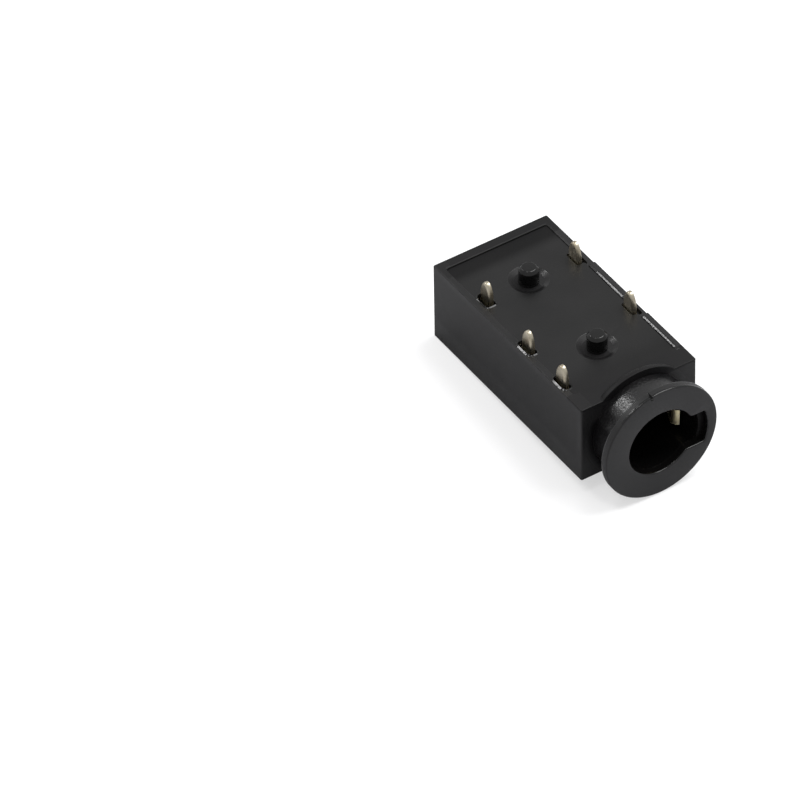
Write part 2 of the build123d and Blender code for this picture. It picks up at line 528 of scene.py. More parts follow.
@dataclass(frozen=True)
class Patch:
    """A part of a moulding where the tool left another skin than elsewhere.

    It lies within its spans along the axes and, where it has a radius, within that distance of
    the plug hole's axis.
    """

    spans: tuple[tuple[Along, float, float], ...]
    radius: float = 0.0
    roughness: float = 0.5
    specular: float = 0.31
    # A colour, where given, is painted shade that darkens the patch
    colour: str = ""
    specks: float = 0.0
    soft: float = 0.03

    def mask(self, tree: bpy.types.NodeTree, place: bpy.types.NodeSocket) -> bpy.types.NodeSocket:
        """Makes a mask that is 1 on the patch and fades round it.

        Args:
            tree: The node tree.
            place: The place on the moulding, in metres.

        Returns:
            The mask.
        """
        smooth = {"interpolation_type": "SMOOTHSTEP"}
        product = {"operation": "MULTIPLY"}
        parts = add_node(tree, "SeparateXYZ", Vector=place).outputs
        spans = [(parts[along.value], low, high) for along, low, high in self.spans]
        if self.radius:
            flat = add_node(tree, "CombineXYZ", at0=0.0, at1=parts[1], at2=parts[2]).outputs[0]
            far = add_node(tree, "VectorMath", {"operation": "LENGTH"}, at0=flat).outputs["Value"]
            spans.append((far, -1.0, self.radius))
        mask: bpy.types.NodeSocket | float = 1.0
        for value, low, high in spans:
            for edge, outside in ((low, low - self.soft), (high, high + self.soft)):
                ends = {"at1": outside * MM, "at2": edge * MM}
                fade = add_node(tree, "MapRange", smooth, at0=value, **ends).outputs[0]
                mask = add_node(tree, "Math", product, at0=fade, at1=mask).outputs[0]
        return mask


@dataclass(frozen=True)
class MouldedNylon:
    """Black glass-filled nylon, injection moulded in a spark-eroded steel tool.

    The tool's fine pits give a satin skin that greys softly at a glance. Where the tool was
    polished, as round the neck, the skin is glossier and its pits break the light into specks.
    Where the plastic filled last, as beside the rear wall, the skin is duller.
    """

    name: str
    colour: str = "#0A0A0B"
    bloom: str = "#100F10"
    index: float = 1.53
    specular: float = 0.31
    roughness: float = 0.5
    # The widths of the patterns, and how deep their relief is
    mottle: float = 2.2
    # The tool's pits are about 0.02 mm wide, and are drawn coarser here so that they show
    pit: float = 0.07
    pit_depth: float = 0.0014
    speck: float = 0.13
    flow: float = 0.9
    flow_twist: float = 0.6
    flow_depth: float = 0.005
    # The mottle's values between which the colour and the roughness change, and by how much
    bloom_span: Span = (0.35, 0.65)
    gloss_span: Span = (0.3, 0.7)
    gloss_spread: Span = (-0.05, 0.07)
    patches: tuple[Patch, ...] = ()

    def make(self) -> bpy.types.Material:
        """Builds the material.

        Returns:
            The material.
        """
        material = bpy.data.materials.new(self.name)
        material.use_nodes = True
        tree = material.node_tree
        shader = tree.nodes["Principled BSDF"]
        place = add_node(tree, "TexCoord").outputs["Object"]
        patterns = []
        for width, detail, twist in (
            (self.mottle, 4.0, 0.0),
            (self.pit, 2.0, 0.0),
            (self.speck, 2.0, 0.0),
            (self.flow, 3.0, self.flow_twist),
        ):
            cells = {"Scale": 1 / (width * MM), "Detail": detail, "Distortion": twist}
            patterns.append(add_node(tree, "TexNoise", Vector=place, **cells).outputs[0])
        mottle, pits, specks, flow = patterns
        low, high = self.bloom_span
        cloud = add_node(tree, "MapRange", at0=mottle, at1=low, at2=high).outputs[0]
        colours = {"at6": linear(self.colour), "at7": linear(self.bloom)}
        tone = add_node(tree, "Mix", {"data_type": "RGBA"}, at0=cloud, **colours).outputs[2]
        low, high = self.gloss_span
        least, most = (self.roughness + change for change in self.gloss_spread)
        ends = {"at1": low, "at2": high, "at3": least, "at4": most}
        gloss = add_node(tree, "MapRange", at0=mottle, **ends).outputs[0]
        depth = {"Strength": 1.0, "Distance": self.pit_depth * MM}
        skin = add_node(tree, "Bump", Height=pits, **depth).outputs[0]
        shine: bpy.types.NodeSocket | float = self.specular
        for patch in self.patches:
            mask = patch.mask(tree, place)
            gloss = add_node(tree, "Mix", at0=mask, at2=gloss, at3=patch.roughness).outputs[0]
            shine = add_node(tree, "Mix", at0=mask, at2=shine, at3=patch.specular).outputs[0]
            # A patch's colour paints shade over the nylon's tone
            if patch.colour:
                colours = {"at6": tone, "at7": linear(patch.colour)}
                tone = add_node(tree, "Mix", {"data_type": "RGBA"}, at0=mask, **colours).outputs[2]
            if patch.specks:
                product = {"operation": "MULTIPLY"}
                height = add_node(tree, "Math", product, at0=specks, at1=mask).outputs[0]
                depth = {"Strength": 1.0, "Distance": patch.specks * MM}
                skin = add_node(tree, "Bump", Height=height, Normal=skin, **depth).outputs[0]
        depth = {"Strength": 1.0, "Distance": self.flow_depth * MM}
        waves = add_node(tree, "Bump", Height=flow, Normal=skin, **depth).outputs[0]
        tree.links.new(tone, shader.inputs["Base Color"])
        tree.links.new(gloss, shader.inputs["Roughness"])
        tree.links.new(waves, shader.inputs["Normal"])
        shader.inputs["Specular IOR Level"].default_value = self.specular
        if self.patches:
            tree.links.new(shine, shader.inputs["Specular IOR Level"])
        shader.inputs["IOR"].default_value = self.index
        return material


# The axes' short names, for the patches
X, Y, Z = Along
HOUSING_PATCHES = (
    # The tool left a duller skin on the plain side and on the collar
    Patch(((X, -14.5, -2.5), (Y, -3.3, -3.2), (Z, -0.8, 1.7)), specular=0.24, soft=0.5),
    Patch(((X, -2.4, -1.88), (Z, 2.25, 3.1)), specular=0.14, soft=0.02),
    # The neck's slides were polished, and their wear shows as specks
    Patch(((X, -1.86, -0.42),), roughness=0.28, specular=0.45, specks=0.022, soft=0.02),
    Patch(
        ((X, -1.8, -0.55), (Y, -2.8, -0.6), (Z, -2.8, 1.0)),
        radius=2.64,
        roughness=0.4,
        specular=0.06,
        soft=0.4,
    ),
    # The flange's rear edge lay on polished steel, and is brightest at its lower left
    Patch(((X, -0.5, -0.38),), roughness=0.2, specular=0.45),
    Patch(((X, -0.5, -0.38), (Y, -3.2, -2.3), (Z, -2.4, -0.1)), specular=1.0, soft=0.1),
    # The hole's core pin was polished, so that its wall mirrors the dark inside; the wall and the
    # pocket at the mouth are also given a darker colour, which is painted shade
    Patch(
        ((X, -14.3, -0.06), (Z, -1.95, 1.95)),
        radius=2.55,
        roughness=0.33,
        specular=0.12,
        colour="#0A0909",
    ),
    Patch(((X, -0.42, -0.1),), radius=2.85, roughness=0.4, specular=0.06, colour="#0A0909"),
    # The plastic filled the rear rim last, and met the rim's front end duller too
    Patch(((X, -14.4, -13.2), (Y, -3.11, 3.11), (Z, 2.1, 2.3)), specular=0.18, soft=0.14),
    Patch(((X, -3.1, -1.88), (Z, 2.1, 2.23)), specular=0.17, soft=0.02),
    # The seam's edge and the lips were wiped bright by the plate and the strips
    Patch(((X, -9.6, -7.5), (Y, 2.86, 3.02), (Z, 2.1, 2.21)), roughness=0.17, specks=0.014),
    Patch(((X, -5.75, -2.95), (Y, 2.86, 3.02), (Z, 2.1, 2.21)), roughness=0.17, specks=0.014),
    Patch(((Y, -3.25, -2.6), (Z, 2.203, 2.4)), roughness=0.17, specks=0.012, soft=0.005),
    # The mouth's edge lay on polished steel
    Patch(((X, -0.14, -0.03), (Y, -2.2, 3.3)), roughness=0.22, specks=0.008, soft=0.02),
    # The flange's face took its gloss from the tool's front plate
    Patch(((X, -0.01, 0.1),), specular=0.38, soft=0.01),
)
PLATE_PATCHES = (
    # The pegs' sleeves in the tool were polished; the pegs' darker colour is painted shade
    Patch(((Z, 2.135, 3.2),), roughness=0.2, specular=0.3, specks=0.006, colour="#070707"),
    # Each moat filled last on its plain side, and was polished on the other
    Patch(((Y, -1.1, 0.3), (Z, 1.9, 2.112)), specular=0.17, soft=0.006),
    Patch(((Y, 0.4, 1.1), (Z, 1.9, 2.112)), roughness=0.24, soft=0.006),
    # The plate's two ends are duller
    Patch(((X, -13.9, -13.2),), specular=0.12, soft=0.8),
    Patch(((X, -3.5, -2.9),), specular=0.19, soft=1.6),
)


@dataclass(frozen=True)
class PlatedStrip:
    """Phosphor bronze strip, rolled and stamped, gold flashed inside and tinned at the tails.

    Rolling leaves fine lines along the strip. The thin gold is paler where it is worn, and the
    tin beyond the body is greyer and darkens where flux or fingers have been.
    """

    name: str = "gold_flashed_strip"
    colour: str = "#E6DBB4"
    tin: str = "#AEA796"
    tin_from: float = 1.9
    tin_to: float = 2.3
    pale: str = "#EDE6D6"
    dark: str = "#84765E"
    roughness: float = 0.36
    # Rolling lines are about 0.005 mm apart, and are drawn coarser here so that they show
    line: float = 0.11
    stretch: float = 14.0
    line_depth: float = 0.00012
    stain: float = 0.55
    # The stain pattern's values between which the strip turns pale or dark
    pale_span: Span = (0.5, 0.72)
    dark_span: Span = (0.46, 0.28)
    dark_most: float = 0.7
    # The lines' values between which the roughness changes, and by how much
    gloss_span: Span = (0.3, 0.7)
    gloss_spread: Span = (-0.06, 0.08)

    def make(self) -> bpy.types.Material:
        """Builds the material.

        Returns:
            The material.
        """
        material = bpy.data.materials.new(self.name)
        material.use_nodes = True
        tree = material.node_tree
        shader = tree.nodes["Principled BSDF"]
        place = add_node(tree, "TexCoord").outputs["Object"]
        height = add_node(tree, "SeparateXYZ", Vector=place).outputs[2]
        drawn = add_node(tree, "Mapping", Vector=place, Scale=(1.0, 1.0, 1 / self.stretch))
        cells = {"Scale": 1 / (self.line * MM), "Detail": 3.0}
        lines = add_node(tree, "TexNoise", Vector=drawn.outputs[0], **cells).outputs[0]
        cells = {"Scale": 1 / (self.stain * MM), "Detail": 4.0}
        stains = add_node(tree, "TexNoise", Vector=place, **cells).outputs[0]
        tone: bpy.types.NodeSocket | tuple[float, ...] = linear(self.colour)
        for source, (low, high), most, colour in (
            (stains, self.pale_span, 1.0, self.pale),
            (height, (self.tin_from * MM, self.tin_to * MM), 1.0, self.tin),
            (stains, self.dark_span, self.dark_most, self.dark),
        ):
            share = add_node(tree, "MapRange", at0=source, at1=low, at2=high, at4=most).outputs[0]
            ends = {"at6": tone, "at7": linear(colour)}
            tone = add_node(tree, "Mix", {"data_type": "RGBA"}, at0=share, **ends).outputs[2]
        low, high = self.gloss_span
        least, most = (self.roughness + change for change in self.gloss_spread)
        ends = {"at1": low, "at2": high, "at3": least, "at4": most}
        gloss = add_node(tree, "MapRange", at0=lines, **ends).outputs[0]
        depth = {"Strength": 1.0, "Distance": self.line_depth * MM}
        relief = add_node(tree, "Bump", Height=lines, **depth).outputs[0]
        for socket, source in (("Base Color", tone), ("Roughness", gloss), ("Normal", relief)):
            tree.links.new(source, shader.inputs[socket])
        shader.inputs["Metallic"].default_value = 1.0
        return material


@dataclass(frozen=True)
class Body:
    """The main sizes that the housing, the base plate and the contacts share."""

    length: float = 12.45
    width: float = 6.5
    height: float = 4.4
    nose: float = 1.9
    side_wall: float = 0.38
    roof_wall: float = 0.35
    back_wall: float = 0.3
    rear_rim: float = 0.55
    front_wall: float = 1.15
    bore_radius: float = 1.8
    key_reach: float = 2.3
    key_level: float = -0.22
    sleeve_level: float = -0.35
    plate_thickness: float = 0.25
    plate_drop: float = 0.08
    plate_ledge: float = 0.2
    anchor_width: float = 1.0
    arm_height: float = 0.92
    arm_relief: float = 2.0
    tail_width: float = 0.85
    pocket_end_gap: float = 0.16
    pocket_side_gap: float = 0.25
    pocket_corner: float = 0.13
    # The outer rear corner of a tail's opening is rounder than the others
    pocket_sweep: float = 0.3
    # The least of the rim that an opening leaves outside it
    rim_left: float = 0.14
    notch_gap: float = 0.05
    strip: float = 0.25
    seat_gap: float = 0.02

    @property
    def front(self) -> float:
        """The body's front face."""
        return -self.nose

    @property
    def back(self) -> float:
        """The body's back face."""
        return self.front - self.length

    @property
    def seat(self) -> float:
        """The level that the circuit board lies on."""
        return self.height / 2

    @property
    def floor(self) -> float:
        """The inside of the closed top."""
        return -self.height / 2 + self.roof_wall

    @property
    def cavity_back(self) -> float:
        """The inside of the back wall."""
        return self.back + self.back_wall

    @property
    def plate_back(self) -> float:
        """The rear end of the base plate's seat."""
        return self.back + self.rear_rim

    @property
    def cavity_half(self) -> float:
        """Half the width between the side walls."""
        return self.width / 2 - self.side_wall

    @property
    def plate_top(self) -> float:
        """The base plate's outer face."""
        return self.seat - self.plate_drop

    @property
    def plate_bottom(self) -> float:
        """The base plate's inner face."""
        return self.plate_top - self.plate_thickness

    @property
    def plate_front(self) -> float:
        """The front end of the base plate's seat."""
        return self.front - self.front_wall

    @property
    def bore_end(self) -> float:
        """Where the plug hole opens into the space for the contacts."""
        return self.plate_front - self.plate_ledge


@dataclass(frozen=True)
class Tail:
    """The place of one solder tail."""

    from_back: float
    inset: float
    side: Side
    rear_gap: float = 0.16

    def x(self, body: Body) -> float:
        """Returns the tail's middle along X."""
        return body.back + self.from_back

    def y(self, body: Body) -> float:
        """Returns the tail's middle across the body, with its sign."""
        return self.side.value * (body.width / 2 - self.inset)

    def outer(self, body: Body) -> float:
        """Returns how far the tail's outer face is from the middle of the body."""
        return body.width / 2 - self.inset + body.strip / 2

    def opening(self, body: Body, grown: float = 0.0) -> list[Point]:
        """Returns the outline of the opening round the tail.

        Args:
            body: The shared sizes.
            grown: How much wider the opening is all round.

        Returns:
            The outline's points, with a wide rounding at the outer rear corner.
        """
        side = self.side.value
        half = body.tail_width / 2
        outer = min(self.outer(body) + body.pocket_side_gap, body.width / 2 - body.rim_left)
        inner = abs(self.y(body)) - body.strip / 2 - body.notch_gap
        behind = self.x(body) - half - self.rear_gap - grown
        ahead = self.x(body) + half + body.pocket_end_gap + grown
        corner = body.pocket_corner + grown
        return rounded(
            [
                (behind, side * (outer + grown), body.pocket_sweep + grown),
                (ahead, side * (outer + grown), corner),
                (ahead, side * (inner - grown), corner),
                (behind, side * (inner - grown), corner),
            ]
        )

    def meets_wall(self, body: Body, gap: float) -> bool:
        """Says whether the tail, with that gap outside it, reaches into the side wall."""
        return self.outer(body) + gap > body.cavity_half

    def pocket(self, body: Body, low: float, face: float, edge: float) -> bpy.types.Object:
        """Makes the tool that sinks the opening round the tail into a face.

        Args:
            body: The shared sizes.
            low: The opening's floor.
            face: The level of the face.
            edge: The radius of the opening's rounded edge.

        Returns:
            The tool.
        """
        return Bench.opening(
            "tail_pocket", lambda grown, _depth: self.opening(body, grown), low, face, edge
        )

    def lip(
        self, body: Body, face: float, width: float, height: float, least_y: float = -math.inf
    ) -> bpy.types.Object:
        """Makes the sloped solid that the raised lip round the opening is left of.

        Args:
            body: The shared sizes.
            face: The level of the face that the lip stands on.
            width: How far the lip's foot reaches from the opening.
            height: How high the lip is.
            least_y: The least Y that it may reach.

        Returns:
            The solid.
        """
        rings = []
        for share in LIP_LEVELS:
            level = face + share * height
            places = self.opening(body, (1 - share) * width)
            rings.append([Vector((x, max(y, least_y), level)) for x, y in places])
        return Bench.loft("lip", rings, Along.Z)


SLEEVE_TAIL = Tail(7.7, 0.5, Side.KEYWAY)
RING_ONE_TAIL = Tail(3.3, 0.63, Side.KEYWAY)
RING_TWO_TAIL = Tail(10.2, 0.46, Side.PLAIN, rear_gap=0.05)
TIP_TAIL = Tail(7.3, 0.51, Side.PLAIN, rear_gap=0.12)
SWITCH_TAIL = Tail(3.35, 0.83, Side.PLAIN, rear_gap=0.03)
KEYWAY_TAILS = (SLEEVE_TAIL, RING_ONE_TAIL)
PLAIN_TAILS = (RING_TWO_TAIL, TIP_TAIL, SWITCH_TAIL)


@dataclass
class Housing:
    """The one-piece moulding: the box-shaped body, its nose, its hole and its open board side."""

    body: Body
    finish: bpy.types.Material
    corner_radius: float = 0.08
    top_edge: float = 0.05
    rim_edge: float = 0.04
    seam_edge: float = 0.07
    # A seam edge at this angle to the top catches the light from the plain side
    seam_angle: float = 30.5
    seam_chamfer: float = 0.045
    # How much of the seam's rounding its front end has
    seam_front: float = 0.3
    collar_edge: float = 0.03
    collar_round: float = 0.4
    lip_width: float = 0.1
    lip_height: float = 0.06
    lip_edge: float = 0.02
    neck_radius: float = 2.6
    flange_radius: float = 3.15
    flange_thickness: float = 0.45
    flange_edge: float = 0.08
    collar_radius: float = 3.0
    collar_length: float = 0.5
    # The collar stands out of the body's face by this, so that the two share no face
    collar_step: float = 0.004
    root_fillet: float = 0.12
    gate_width: float = 0.15
    gate_depth: float = 0.22
    gate_angle: float = 11.0
    gate_behind: float = 0.2
    mouth_edge: float = 0.1
    key_height: float = 1.9
    pocket_reach: float = 2.62
    pocket_depth: float = 0.35
    seat_corner: float = 0.14
    key_corner: float = 0.12
    key_bump: float = 0.3
    window_length: float = 1.3
    window_depth: float = 0.13
    window_shift: float = 0.15
    # Where the relief for the sleeve contact's arm starts, across the body
    relief_from: float = 0.5
    # How far the tools run clear of the moulding, or overlap each other
    clear: float = 1.0
    overlap: float = 0.01
    run_on: float = 0.05
    # The hole's end for the plug's tip is narrower by this, so that no two cuts share a face
    tip_shave: float = 0.002
    shortest_chord: float = 0.0005

    def build(self) -> bpy.types.Object:
        """Models the whole moulding.

        Returns:
            The moulding, in metres.
        """
        piece = self.block_out()
        self.add_lips(piece)
        self.add_nose(piece)
        self.hollow(piece)
        self.cut_pockets(piece)
        self.cut_windows(piece)
        self.cut_mouth(piece)
        self.cut_gate(piece)
        Bench.close_up(piece, self.finish)
        return piece

    def block_out(self) -> bpy.types.Object:
        """Models the box-shaped body with its rounded edges.

        Returns:
            The body.
        """
        body = self.body
        half = body.width / 2
        piece = Bench.block(
            "housing_moulding", (body.back, -half, -body.seat), (body.front, half, body.seat)
        )
        Bench.soften(piece, lambda a, b: abs(a.z - b.z) > self.clear, self.corner_radius, strips=5)
        Bench.soften(piece, lambda a, b: max(a.z, b.z) < -body.seat + Bench.fine, self.top_edge)
        Bench.soften(piece, lambda a, b: min(a.z, b.z) > body.seat - Bench.fine, self.rim_edge)
        return piece

    def add_nose(self, piece: bpy.types.Object) -> None:
        """Joins the collar, the neck and the flange, turned as one, to the body.

        Args:
            piece: The moulding.
        """
        body = self.body
        collar_front = body.front + self.collar_step
        collar_back = body.front - self.collar_length
        profile = rounded(
            [
                (collar_back, 0, 0),
                (collar_back, self.collar_radius, self.collar_round),
                (collar_front, self.collar_radius, self.collar_edge),
                (collar_front, self.neck_radius, 0),
                (-self.flange_thickness, self.neck_radius, self.root_fillet),
                (-self.flange_thickness, self.flange_radius, self.flange_edge),
                (0, self.flange_radius, self.flange_edge),
                (0, 0, 0),
            ],
            closed=False,
        )
        Bench.combine(piece, Cut.JOIN, Bench.lathe("nose", profile))

    def add_lips(self, piece: bpy.types.Object) -> None:
        """Raises the rim round the tails of the plain side, where the strips were pressed in.

        Args:
            piece: The moulding.
        """
        body = self.body
        for tail in PLAIN_TAILS:
            if tail.meets_wall(body, body.pocket_side_gap):
                lip = tail.lip(body, body.seat, self.lip_width, self.lip_height)
                Bench.combine(piece, Cut.JOIN, lip)

    def hollow(self, piece: bpy.types.Object) -> None:
        """Opens the board side: the space for the contacts and the seat of the base plate.

        Args:
            piece: The moulding.
        """
        body = self.body
        half = body.cavity_half
        cavity = Bench.block(
            "cavity",
            (body.plate_back + body.plate_ledge, -half, body.floor),
            (body.bore_end, half, body.plate_bottom + self.overlap),
        )
        seat = Bench.opening(
            "seat", self.seat_outline, body.plate_bottom, body.seat, self.seam_edge
        )
        start = SLEEVE_TAIL.x(body)
        reach = SLEEVE_TAIL.y(body) + body.strip / 2 + body.seat_gap
        rise = body.arm_height / 2 + body.seat_gap
        relief = Bench.block(
            "relief",
            (start, self.relief_from, body.sleeve_level - rise),
            (start + body.arm_relief, reach, body.sleeve_level + rise),
        )
        Bench.combine(piece, Cut.TAKE, cavity, seat, relief)

    def seat_outline(self, grown: float, depth: float) -> list[Point]:
        """Returns the outline of the plate's seat, with a straight chamfer on the keyway side.

        Args:
            grown: How much wider the seat is there than at its floor.
            depth: How far below the rim's face the outline lies.

        Returns:
            The outline's points.
        """
        body = self.body
        run = 1 / math.tan(math.radians(self.seam_angle))
        chamfer = max(0.0, self.seam_chamfer - depth) * run
        back = body.plate_back - grown
        front = body.plate_front + grown * self.seam_front
        low = -body.cavity_half - grown
        high = body.cavity_half + chamfer
        corners = ((back, low), (front, low), (front, high), (back, high))
        return rounded([(x, y, self.seat_corner) for x, y in corners], steps=5)

    def cut_pockets(self, piece: bpy.types.Object) -> None:
        """Cuts the grooves that hold the contacts and the wider pockets round their tails.

        Args:
            piece: The moulding.
        """
        body = self.body
        half = body.anchor_width / 2 + body.seat_gap
        for tail in (*KEYWAY_TAILS, *PLAIN_TAILS):
            if tail.meets_wall(body, body.seat_gap):
                inner = tail.side.value * self.clear
                outer = tail.side.value * (tail.outer(body) + body.seat_gap)
                groove = Bench.block(
                    "groove",
                    (tail.x(body) - half, min(inner, outer), body.floor),
                    (tail.x(body) + half, max(inner, outer), body.plate_bottom + self.overlap),
                )
                Bench.combine(piece, Cut.TAKE, groove)
            if tail.meets_wall(body, body.pocket_side_gap):
                low = body.plate_bottom - self.overlap
                pocket = tail.pocket(body, low, body.seat + self.lip_height, self.lip_edge)
                Bench.combine(piece, Cut.TAKE, pocket)

    def cut_windows(self, piece: bpy.types.Object) -> None:
        """Lowers the rim beside the tails on the keyway side.

        Args:
            piece: The moulding.
        """
        body = self.body
        half = self.window_length / 2
        inner = body.cavity_half - self.clear / 2
        for tail in KEYWAY_TAILS:
            middle = tail.x(body) + self.window_shift
            window = Bench.block(
                "window",
                (middle - half, inner, body.seat - self.window_depth),
                (middle + half, body.width, body.seat + self.clear),
            )
            Bench.combine(piece, Cut.TAKE, window)

    def mouth_ring(self, x: float, reach: float, grown: float = 0.0) -> list[Vector]:
        """Returns the outline of the plug hole with its keyway.

        Args:
            x: The outline's place along the hole.
            reach: How far the keyway reaches from the hole's axis.
            grown: How much wider than the hole it is all round.

        Returns:
            Points that run round the hole, along the keyway's lower side and back on its upper.
        """
        level = self.body.key_level
        half = self.key_height / 2
        bore = self.body.bore_radius
        bump = self.key_bump
        upper = level + half + bump
        lower = level - half - bump
        upper_out = math.sqrt((bore + bump) ** 2 - upper**2)
        lower_out = math.sqrt((bore + bump) ** 2 - lower**2)
        above = math.atan2(upper, upper_out)
        below = math.atan2(lower, lower_out)
        corner = self.key_corner
        rise = half - corner
        out = math.sqrt((reach - corner) ** 2 - rise**2)
        turn = math.atan2(rise, out)
        quarter = math.pi / 2
        # Each arc's centre, its radius, its first and last angle and its number of chords
        arcs = [
            (0.0, 0.0, bore + grown, above, math.tau + below, 120),
            (lower_out, lower, bump - grown, math.pi + below, quarter, 8),
            (out, level - rise, corner + grown, -quarter, -turn, 6),
            (0.0, level, reach + grown, -turn, turn, 20),
            (out, level + rise, corner + grown, turn, quarter, 6),
            (upper_out, upper, bump - grown, -quarter, above - math.pi, 8),
        ]
        ring: list[Vector] = []
        for y, z, radius, start, end, steps in arcs:
            for step in range(steps + 1):
                angle = start + (end - start) * step / steps
                place = Vector((x, y + radius * math.cos(angle), z + radius * math.sin(angle)))
                if not ring or (place - ring[-1]).length > self.shortest_chord:
                    ring.append(place)
        if (ring[0] - ring[-1]).length < self.shortest_chord:
            ring.pop()
        return ring

    def cut_mouth(self, piece: bpy.types.Object) -> None:
        """Cuts the plug hole, its keyway and the round end for the plug's tip.

        Args:
            piece: The moulding.
        """
        body = self.body
        stations = [
            (body.bore_end - self.run_on, body.key_reach, 0.0),
            (-self.pocket_depth, body.key_reach, 0.0),
            (-self.pocket_depth, self.pocket_reach, 0.0),
        ]
        for depth, grown in ROUND_EDGE:
            place = -depth * self.mouth_edge
            stations.append((place, self.pocket_reach, grown * self.mouth_edge))
        mouth = Bench.loft("mouth", [self.mouth_ring(*station) for station in stations])
        end = body.plate_back + body.plate_ledge + self.run_on
        radius = body.bore_radius - self.tip_shave
        profile = [(body.cavity_back, 0), (body.cavity_back, radius), (end, radius), (end, 0)]
        Bench.combine(piece, Cut.TAKE, mouth, Bench.lathe("tip_end", profile))

    def cut_gate(self, piece: bpy.types.Object) -> None:
        """Cuts the nick that the broken gate leaves across the flange's rim.

        Args:
            piece: The moulding.
        """
        half = self.gate_width / 2
        rim = self.flange_radius
        nick = Bench.block(
            "nick",
            (-self.flange_thickness - self.gate_behind, -half, rim - self.gate_depth),
            (self.clear, half, rim + self.clear),
        )
        nick.data.transform(Matrix.Rotation(math.radians(self.gate_angle), 4, "X"))
        Bench.combine(piece, Cut.TAKE, nick)


@dataclass
class BasePlate:
    """The plate that closes the board side, with a notch for each tail and two locating pegs."""

    body: Body
    finish: bpy.types.Material
    edge: float = 0.02
    corner: float = 0.08
    # The plate is narrower than its seat by this on each side, and its notches are wider
    fit: float = 0.005
    tight_gap: float = 0.05
    lip_width: float = 0.075
    lip_height: float = 0.045
    # A lip stays inside the plate's edge by this
    trim: float = 0.008
    peg_radius: float = 0.5
    peg_height: float = 0.7
    peg_chamfer: float = 0.15
    peg_edge: float = 0.08
    moat_foot: float = 0.74
    moat_radius: float = 1.0
    moat_depth: float = 0.13
    moat_edge: float = 0.06
    moat_steps: int = 72
    peg_steps: int = 64
    pegs: tuple[float, ...] = (3.3, 9.0)
    clear: float = 1.0

    def outline(self) -> list[Point]:
        """Draws the plate's outline, which steps in round each tail of the keyway side.

        Returns:
            The outline's points.
        """
        body = self.body
        back = body.plate_back + self.fit
        front = body.plate_front - self.fit
        half = body.cavity_half - self.fit
        notch_half = body.tail_width / 2 + self.tight_gap
        corners = [(back, -half), (front, -half), (front, half)]
        for tail in KEYWAY_TAILS:
            inner = tail.y(body) - body.strip / 2 - body.notch_gap
            ahead = tail.x(body) + notch_half
            behind = tail.x(body) - notch_half
            corners += [(ahead, half), (ahead, inner), (behind, inner), (behind, half)]
        corners.append((back, half))
        return rounded([(x, y, self.corner) for x, y in corners], steps=3)

    def build(self) -> bpy.types.Object:
        """Models the plate with its pegs.

        Returns:
            The plate, in metres.
        """
        body = self.body
        piece = Bench.prism(
            "base_plate_moulding", self.outline(), Along.Z, body.plate_bottom, body.plate_top
        )
        Bench.soften(piece, lambda a, b: min(a.z, b.z) > body.plate_top - Bench.fine, self.edge)
        for tail in reversed(PLAIN_TAILS):
            self.cut_opening(piece, tail)
        foot = body.plate_top - self.moat_depth
        top = body.seat + self.peg_height
        moat_profile = rounded(
            [
                (foot, 0, 0),
                (foot, self.moat_foot, self.moat_edge),
                (body.plate_top, self.moat_radius, self.moat_edge),
                (body.plate_top + self.moat_edge, self.moat_radius + self.clear, 0),
                (body.plate_top + self.clear, 0, 0),
            ],
            closed=False,
        )
        peg_profile = rounded(
            [
                (foot - self.moat_edge, 0, 0),
                (foot - self.moat_edge, self.peg_radius, 0),
                (top - self.peg_chamfer, self.peg_radius, self.peg_edge),
                (top, self.peg_radius - self.peg_chamfer, self.peg_edge),
                (top, 0, 0),
            ],
            closed=False,
        )
        for from_back in self.pegs:
            middle = (body.back + from_back, 0.0, 0.0)
            moat = Bench.lathe("moat", moat_profile, Along.Z, middle, self.moat_steps)
            Bench.combine(piece, Cut.TAKE, moat)
            peg = Bench.lathe("peg", peg_profile, Along.Z, middle, self.peg_steps)
            Bench.combine(piece, Cut.JOIN, peg)
        Bench.close_up(piece, self.finish)
        return piece

    def cut_opening(self, piece: bpy.types.Object, tail: Tail) -> None:
        """Cuts the opening for a tail of the plain side and raises a lip round it.

        Args:
            piece: The plate.
            tail: The tail, whose opening is a closed slot where it stands clear of the edge.
        """
        body = self.body
        least_y = self.trim - (body.cavity_half - self.fit)
        lip = tail.lip(body, body.plate_top, self.lip_width, self.lip_height, least_y)
        Bench.combine(piece, Cut.JOIN, lip)
        low = body.plate_bottom - Bench.above
        opening = tail.pocket(body, low, body.plate_top + self.lip_height, self.edge)
        Bench.combine(piece, Cut.TAKE, opening)


